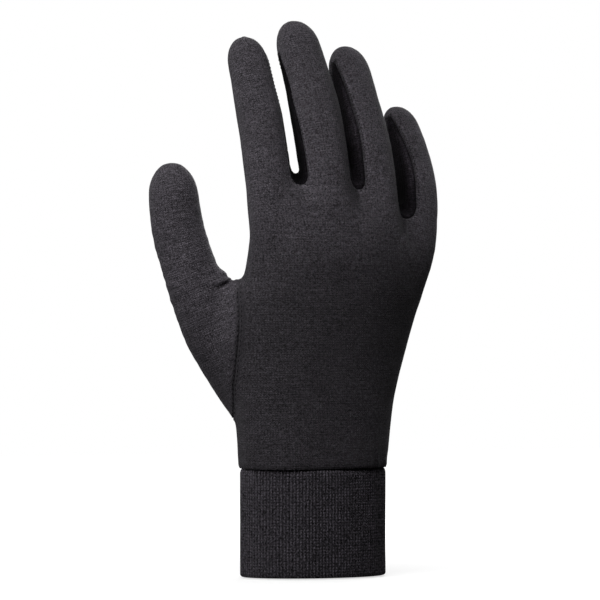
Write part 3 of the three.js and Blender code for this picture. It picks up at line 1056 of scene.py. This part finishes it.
def evened(loop, pitch):
    """A loop smoothed and split into equal steps: places, tangents and ways outward."""
    places, away = (np.array(part) for part in zip(*loop))
    for _ in range(3):
        places = (np.roll(places, 1, 0) + places * 2 + np.roll(places, -1, 0)) / 4
        away = (np.roll(away, 1, 0) + away + np.roll(away, -1, 0)) / 3
    closed = np.hstack([np.vstack([part, part[:1]]) for part in (places, away)])
    steps = np.linalg.norm(np.diff(closed[:, :3], axis=0), axis=1)
    travelled = np.concatenate([[0], np.cumsum(steps)])
    count = int(travelled[-1] / pitch)
    even = (np.arange(count) + 0.5) / count * travelled[-1]
    columns = np.stack([np.interp(even, travelled, column) for column in closed.T], 1)
    found, sides = columns[:, :3], columns[:, 3:]
    tangents = np.roll(found, -1, 0) - np.roll(found, 1, 0)
    return found, tangents, sides


# panel that the row follows, pitch, distance from its seam, length, width
STITCH_ROWS = [
    ("side_strip_index_middle", 1.9, 1.4, 1.15, 0.5),
    ("side_strip_middle_ring", 1.9, 1.4, 1.15, 0.5),
    ("side_strip_ring_little", 1.9, 1.4, 1.15, 0.5),
    ("thumb", 2.2, 0.9, 1.35, 0.55),
    ("thumb", 2.2, -0.9, 1.35, 0.55),
]
STITCH_FLATNESS = 0.8
STITCH_LIFT = 0.02
# No stitch lies this near to the crotch of the thumb.
STITCH_FREE = 5
# Stitches are made a few at a time, which is much quicker than all in one mesh.
STITCH_BATCH = 600


def gather(thread, row):
    """Moves a few stitches into the mesh of them all."""
    mesh = bpy.data.meshes.new("row")
    row.to_mesh(mesh)
    row.free()
    thread.from_mesh(mesh)
    bpy.data.meshes.remove(mesh)


def stitch_row(thread, surface, loop, pitch, offset, length, width):
    """A row of short stitches beside a seam, each lying on the cloth."""
    row = bmesh.new()
    for place, tangent, side in zip(*evened(loop, pitch)):
        tangent = Vector(tangent).normalized()
        side = Vector(side)
        side = (side - tangent * side.dot(tangent)).normalized()
        seat, up, _, _ = surface.find_nearest(Vector(place) + side * offset)
        if (seat - THUMB_CROTCH).length < STITCH_FREE:
            continue
        tangent = (tangent - up * tangent.dot(up)).normalized()
        turn = Matrix((up.cross(tangent), up, tangent)).transposed().to_4x4()
        size = Matrix.Diagonal((width, width * STITCH_FLATNESS, length, 1))
        bmesh.ops.create_uvsphere(
            row, u_segments=6, v_segments=5, radius=0.5,
            matrix=Matrix.Translation(seat + up * STITCH_LIFT) @ turn @ size,
        )
        if len(row.verts) > STITCH_BATCH:
            gather(thread, row)
            row = bmesh.new()
    gather(thread, row)


surface = BVHTree.FromBMesh(bm)
thread = bmesh.new()
for name, *sizes in STITCH_ROWS:
    stitch_row(thread, surface, seam_loop(PANELS.index(name)), *sizes)
stitching = in_metres(thread, "seam_stitches")

pieces = {}
for k, name in enumerate(PANELS):
    panel = bm.copy()
    layer = panel.faces.layers.int["panel"]
    others = [face for face in panel.faces if face[layer] != k]
    bmesh.ops.delete(panel, geom=others, context="FACES")
    piece = in_metres(panel, name + "_cloth")
    wall = piece.modifiers.new("wall", "SOLIDIFY")
    wall.thickness = CLOTH_WALL * MM
    wall.offset = -1
    wall.use_rim = True
    apply_modifiers(piece)
    pieces[name] = piece
bm.free()
bpy.data.objects.remove(skin)


OVAL_STEPS = 7200
# height, inset, share of the ribs' relief: up the outside, over the top, down the inside
CUFF_PROFILE = [(0.0, 1.1, 0.2), (0.2, 0.5, 0.5), (0.6, 0.15, 0.8), (1.2, 0, 1)]
CUFF_PROFILE += [(z, 0, 1) for z in np.linspace(3.5, 46.5, 19)]
CUFF_PROFILE += [
    (47.6, 0.25, 0.9), (48.3, 0.7, 0.7), (49.0, 1.25, 0.4), (49.9, 1.5, 0.2),
    (50.3, 1.9, 0.1), (49.9, 2.25, 0.1),
]
CUFF_PROFILE += [(z, CUFF_WALL, 0.4) for z in (47, 38, 29, 20, 11, 3)]
CUFF_PROFILE += [(1.2, CUFF_WALL, 0.4), (0.5, 2.05, 0.3), (0.12, 1.65, 0.2)]
RIB_SHARPNESS = 0.8
RIB_DRIFT = 0.12
RIB_DRIFT_LENGTHS = (9, 9, 14)


def cuff_oval(count):
    """Points evenly spaced round the cuff's oval, with their outward directions."""
    angles = np.linspace(0, 2 * math.pi, OVAL_STEPS + 1)
    x = np.cos(angles) * CUFF_WIDTH / 2
    y = np.sin(angles) * CUFF_DEPTH / 2
    travelled = np.concatenate([[0], np.cumsum(np.hypot(np.diff(x), np.diff(y)))])
    even = np.linspace(0, travelled[-1], count + 1)[:-1]
    angle = np.interp(even, travelled, angles)
    points = np.stack([np.cos(angle) * CUFF_WIDTH / 2, np.sin(angle) * CUFF_DEPTH / 2], 1)
    outward = np.stack([np.cos(angle) / CUFF_WIDTH, np.sin(angle) / CUFF_DEPTH], 1)
    outward /= np.linalg.norm(outward, axis=1)[:, None]
    return points, outward


def cuff_piece():
    """The cuff: a closed band whose outside is drawn into ribs."""
    count = RIBS * POINTS_PER_RIB
    points, outward = cuff_oval(count)
    rows = []
    for z, inset, relief in CUFF_PROFILE:
        row = []
        for j in range(count):
            height = 0.5 + 0.5 * math.cos(2 * math.pi * j / POINTS_PER_RIB)
            drift = RIB_DRIFT * noise_at((*points[j], z), RIB_DRIFT_LENGTHS)
            inward = inset + RIB_RELIEF * relief * (1 - height ** RIB_SHARPNESS) - drift
            place = points[j] - outward[j] * inward
            row.append(Vector((place[0], place[1], z)))
        rows.append(row)
    bm = bmesh.new()
    spot = bm.verts.layers.int.new("spot")
    from_crest = bm.verts.layers.float.new("from_crest")
    start = bmesh.ops.create_circle(bm, cap_ends=False, segments=count, radius=1)["verts"]
    for j, vert in enumerate(start):
        vert[spot] = j
        vert[from_crest] = abs((j / POINTS_PER_RIB + 0.5) % 1 - 0.5) * 2
        vert.co = rows[0][j]
    first = bm.edges[:]
    bmesh.ops.bridge_loops(bm, edges=first + extruded(bm, spot, first, rows[1:]))
    bmesh.ops.recalc_face_normals(bm, faces=bm.faces)
    return in_metres(bm, "cuff_ribbing")


pieces["cuff"] = cuff_piece()


SHEEN_ROUGHNESS = 0.55
SHEEN_TINT = (0.8, 0.78, 0.84, 1)
WHITE = (1, 1, 1, 1)


class Nodes:
    """The nodes of a material or of the world."""

    def __init__(self, holder):
        holder.use_nodes = True
        self.tree = holder.node_tree

    def feed(self, node, inputs):
        """Sets a node's inputs to values, or links them to other nodes' outputs."""
        for socket, value in inputs.items():
            if isinstance(value, bpy.types.NodeSocket):
                self.tree.links.new(value, node.inputs[socket])
            elif value is not None:
                node.inputs[socket].default_value = value

    def add(self, kind, inputs, output=0, operation=None):
        """The output of a new node."""
        node = self.tree.nodes.new(kind)
        if operation:
            node.operation = operation
        self.feed(node, inputs)
        return node.outputs[output]

    def own_place(self):
        return self.add("ShaderNodeTexCoord", {}, "Object")


class Finish(Nodes):
    """A cloth material and the nodes that make its knit."""

    def __init__(self, name, roughness, sheen):
        self.material = bpy.data.materials.new(name)
        super().__init__(self.material)
        self.shader = self.tree.nodes["Principled BSDF"]
        self.feed(self.shader, {
            "Roughness": roughness, "Specular IOR Level": sheen * 2, "Sheen Weight": sheen,
            "Sheen Roughness": SHEEN_ROUGHNESS, "Sheen Tint": SHEEN_TINT,
        })

    def figure(self, operation, a, b=None):
        return self.add("ShaderNodeMath", {0: a, 1: b}, operation=operation)

    def scaled(self, vector, by):
        return self.add("ShaderNodeVectorMath", {0: vector, "Scale": by}, operation="SCALE")

    def own(self, name, output="Fac"):
        """An attribute of the piece's mesh."""
        node = self.tree.nodes.new("ShaderNodeAttribute")
        node.attribute_name = name
        return node.outputs[output]

    def parts(self, vector):
        node = self.tree.nodes.new("ShaderNodeSeparateXYZ")
        self.feed(node, {0: vector})
        return node.outputs

    def grain(self, vector, stretch, roughness=0.5, detail=2.0):
        """Soft noise, stretched by a size in each direction."""
        scale = tuple(1 / size for size in stretch)
        place = self.add("ShaderNodeMapping", {"Vector": vector, "Scale": scale})
        return self.add("ShaderNodeTexNoise", {
            "Vector": place, "Scale": 1.0, "Detail": detail, "Roughness": roughness,
        }, "Fac")

    def ranged(self, value, low, high, to_low, to_high):
        """A value from low to high, spread from to_low to to_high."""
        return self.add("ShaderNodeMapRange", {
            "Value": value, "From Min": low, "From Max": high, "To Min": to_low, "To Max": to_high,
        })

    def stitches(self, from_middle, along, course, slope):
        """The height of rows of knitted loops, shaped like a V, in one column of the cloth."""
        leaning = self.figure("MULTIPLY", from_middle, slope)
        rows = self.figure("ADD", self.figure("DIVIDE", along, course), leaning)
        wave = self.figure("SINE", self.figure("MULTIPLY", rows, math.pi))
        strand = self.figure("ABSOLUTE", wave)
        round_column = self.figure("SUBTRACT", 1.0, self.figure("POWER", from_middle, 3.0))
        return self.figure("MULTIPLY", strand, round_column)

    def colour(self, base, *shades):
        """Paints the material in a colour that each shade makes lighter or darker."""
        tone = shades[0]
        for shade in shades[1:]:
            tone = self.figure("MULTIPLY", tone, shade)
        self.feed(self.shader, {"Base Color": self.scaled(base, tone)})

    def relief(self, height, distance):
        """Fine relief that is lit like a shape, as high as distance where height is 1."""
        normal = self.add("ShaderNodeBump", {
            "Height": height, "Distance": distance, "Strength": 1.0,
        })
        self.feed(self.shader, {"Normal": normal})


# The knit: how tall and wide a loop is, and how far its two sides lean
COURSE = 1.05
WALE = 1.1
LOOP_SLOPE = 0.55
RIB_COURSE = 1.3
RIB_SLOPE = 0.45

# size of the grain each way, roughness, and how it shades the cloth: low, high, dark, light
JERSEY_GRAINS = [
    ((0.75, 0.75, 0.6), 0.65, (0.33, 0.67, 0.2, 1.88)),
    ((2.6, 2.6, 0.8), 0.6, (0.3, 0.7, 0.74, 1.28)),
    ((14.0, 14.0, 0.9), 0.5, (0.3, 0.7, 0.84, 1.16)),
    ((16.0, 16.0, 12.0), 0.5, (0.3, 0.7, 0.93, 1.07)),
]
RIB_GRAINS = [
    ((0.8, 0.8, 0.8), 0.6, (0.36, 0.64, 0.12, 1.98)),
    ((12.0, 12.0, 16.0), 0.5, (0.3, 0.7, 0.9, 1.1)),
]
# low, high, dark, light
JERSEY_LOOP_SHADE = (0.0, 1.0, 0.72, 1.12)
# Painted shade along the seams' grooves
SEAM_PAINTED_SHADE = (0.0, 1.0, 1.0, 0.5)
# Painted highlight on the raised ridge beside each strip's seam
RIDGE_PAINTED_HIGHLIGHT = (0.0, 1.0, 1.0, 1.2)
RIB_LOOP_SHADE = (0.0, 1.0, 0.66, 1.2)
# Painted shade in the valleys between the cuff's ribs
RIB_VALLEY_PAINTED_SHADE = (0.2, 1.0, 1.05, 0.66)
TWIST_SIZE = (0.3, 0.3, 0.3)
TWIST_SHADE = (0.3, 0.7, 0.6, 1.4)
# How far the flecks stand up beside the loops, and how high the relief is, in metres
JERSEY_FLECK = 0.9
RIB_FLECK = 0.8
JERSEY_RELIEF = 0.00014
RIB_RELIEF_FINE = 0.0002
THREAD_RELIEF = 0.0001

CHARCOAL = (0.055, 0.0495, 0.058)
# Painted shade: a darker copy of the charcoal for the side strips between the fingers
SHADED_STRIP_CHARCOAL = (0.02, 0.0172, 0.0212)
RIB_CHARCOAL = (0.056, 0.050, 0.060)
THREAD_BLACK = (0.012, 0.011, 0.013)


def jersey_finish(name, base, sheen):
    """Fine heathered jersey: small V loops in rows across the cloth."""
    finish = Finish(name, 0.85, sheen)
    place = finish.own("knit_place", "Vector")
    across, through, along = finish.parts(place)
    faces = []
    for side in (across, through):
        column = finish.figure("FRACT", finish.figure("DIVIDE", side, WALE))
        off = finish.figure("ABSOLUTE", finish.figure("SUBTRACT", column, 0.5))
        from_middle = finish.figure("MULTIPLY", off, 2.0)
        faces.append(finish.stitches(from_middle, along, COURSE, LOOP_SLOPE))
    loops = finish.add("ShaderNodeMix", {0: finish.own("flank"), 2: faces[0], 3: faces[1]})
    grains = [finish.grain(place, size, roughness) for size, roughness, _ in JERSEY_GRAINS]
    finish.colour(
        base,
        finish.ranged(loops, *JERSEY_LOOP_SHADE),
        *[finish.ranged(grain, *row[2]) for grain, row in zip(grains, JERSEY_GRAINS)],
        # painted shade along the seams
        finish.ranged(finish.own("seam"), *SEAM_PAINTED_SHADE),
        # painted highlight on the ridge beside each strip's seam
        finish.ranged(finish.own("ridge"), *RIDGE_PAINTED_HIGHLIGHT),
        # painted light and shade from the tone attribute
        finish.own("tone"),
    )
    height = finish.figure("ADD", loops, finish.figure("MULTIPLY", grains[0], JERSEY_FLECK))
    finish.relief(height, JERSEY_RELIEF)
    return finish.material


def rib_finish():
    """The cuff's rib: every raised rib is one column of loops."""
    finish = Finish("charcoal_rib", 0.88, 0.1)
    place = finish.scaled(finish.own_place(), 1 / MM)
    from_crest = finish.own("from_crest")
    loops = finish.stitches(from_crest, finish.parts(place)[2], RIB_COURSE, RIB_SLOPE)
    grains = [finish.grain(place, size, roughness) for size, roughness, _ in RIB_GRAINS]
    finish.colour(
        RIB_CHARCOAL,
        finish.ranged(loops, *RIB_LOOP_SHADE),
        # painted shade in the valleys between the ribs
        finish.ranged(from_crest, *RIB_VALLEY_PAINTED_SHADE),
        *[finish.ranged(grain, *row[2]) for grain, row in zip(grains, RIB_GRAINS)],
    )
    height = finish.figure("ADD", loops, finish.figure("MULTIPLY", grains[0], RIB_FLECK))
    finish.relief(height, RIB_RELIEF_FINE)
    return finish.material


def thread_finish():
    """Dark sewing thread, twisted a little lighter and darker along each stitch."""
    finish = Finish("dark_thread", 0.6, 0.05)
    twist = finish.grain(finish.scaled(finish.own_place(), 1 / MM), TWIST_SIZE, detail=1.0)
    finish.colour(THREAD_BLACK, finish.ranged(twist, *TWIST_SHADE))
    finish.relief(twist, THREAD_RELIEF)
    return finish.material


jersey = jersey_finish("charcoal_jersey", CHARCOAL, 0.1)
# A darker copy of the jersey, as painted shade on the side strips between the fingers
shaded_strip_jersey = jersey_finish("shaded_strip_jersey", SHADED_STRIP_CHARCOAL, 0.015)
rib_knit = rib_finish()
finish_of = {"cuff": rib_knit, "hand": jersey, "thumb": jersey}
for name, piece in pieces.items():
    piece.data.materials.append(finish_of.get(name, shaded_strip_jersey))
    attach(piece, "root")
    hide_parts(name)
stitching.data.materials.append(thread_finish())
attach(stitching, "root")

# The floor, the light and the white surround, in metres
FLOOR_SIZE = 1.5
FLOOR_DROP = 0.0005
# Painted light: how strongly the floor glows, though it is no lamp, weaker under the hand, where it
# is darker, and stronger where it meets the white around it
FLOOR_GLOW = {"From Min": 0.1, "From Max": 0.45, "To Min": 0.62, "To Max": 1.05}
bm = bmesh.new()
bmesh.ops.create_grid(bm, x_segments=1, y_segments=1, size=FLOOR_SIZE)
floor = object_of(bm, "floor")
floor.location.z = -FLOOR_DROP
white = bpy.data.materials.new("glowing_white_floor")
nodes = Nodes(white)
from_hand = nodes.add("ShaderNodeVectorMath", {0: nodes.own_place()}, "Value", "LENGTH")
nodes.feed(white.node_tree.nodes["Principled BSDF"], {
    "Base Color": (0.5, 0.5, 0.5, 1), "Roughness": 0.9, "Specular IOR Level": 0,
    "Emission Color": WHITE,
    "Emission Strength": nodes.add("ShaderNodeMapRange", {"Value": from_hand, **FLOOR_GLOW}),
})
floor.data.materials.append(white)
floor.visible_diffuse = False
floor.visible_glossy = False


LIT_MIDDLE = Vector((0, 0, 0.14))
# name, turn from the camera's way, rise, distance, size, power
LIGHTS = [
    ("top_light", -12, 55, 0.65, 0.3, 2.0),
    ("side_light", -50, 22, 0.6, 0.3, 1.5),
    ("far_light", 30, 45, 0.6, 0.3, 0.35),
    ("overhead_light", 0, 90, 0.9, 0.4, 0.9),
    ("palm_light", 165, 25, 0.7, 0.4, 3.0),
    ("little_finger_light", 130, 25, 0.7, 0.4, 0.7),
    ("thumb_light", -125, 25, 0.7, 0.4, 0.8),
]


def soft_light(name, turn, rise, distance, size, power):
    """A square lamp that looks at the hand's middle, turned and raised from the camera's way."""
    light = bpy.data.lights.new(name, "AREA")
    light.shape = "SQUARE"
    light.size = size
    light.energy = power
    holder = bpy.data.objects.new(name, light)
    turn = math.radians(turn)
    rise = math.radians(rise)
    facing = (camera_right * math.sin(turn) + towards_camera * math.cos(turn)) * math.cos(rise)
    facing += Vector((0, 0, math.sin(rise)))
    holder.location = LIT_MIDDLE + facing * distance
    holder.rotation_euler = facing.to_track_quat("Z", "Y").to_euler()
    bpy.context.scene.collection.objects.link(holder)


for light in LIGHTS:
    soft_light(*light)

WORLD_GLOW = 0.02
world = bpy.data.worlds.new("studio")
nodes = Nodes(world)
backdrop = world.node_tree.nodes["Background"]
nodes.feed(backdrop, {"Color": WHITE, "Strength": 1.0})
seen = nodes.add("ShaderNodeLightPath", {}, "Is Camera Ray")
glow = nodes.add("ShaderNodeBackground", {"Color": WHITE, "Strength": WORLD_GLOW})
surface = nodes.add("ShaderNodeMixShader", {0: seen, 1: glow, 2: backdrop.outputs[0]})
nodes.feed(world.node_tree.nodes["World Output"], {"Surface": surface})
bpy.context.scene.world = world
bpy.context.scene.view_settings.view_transform = "Standard"
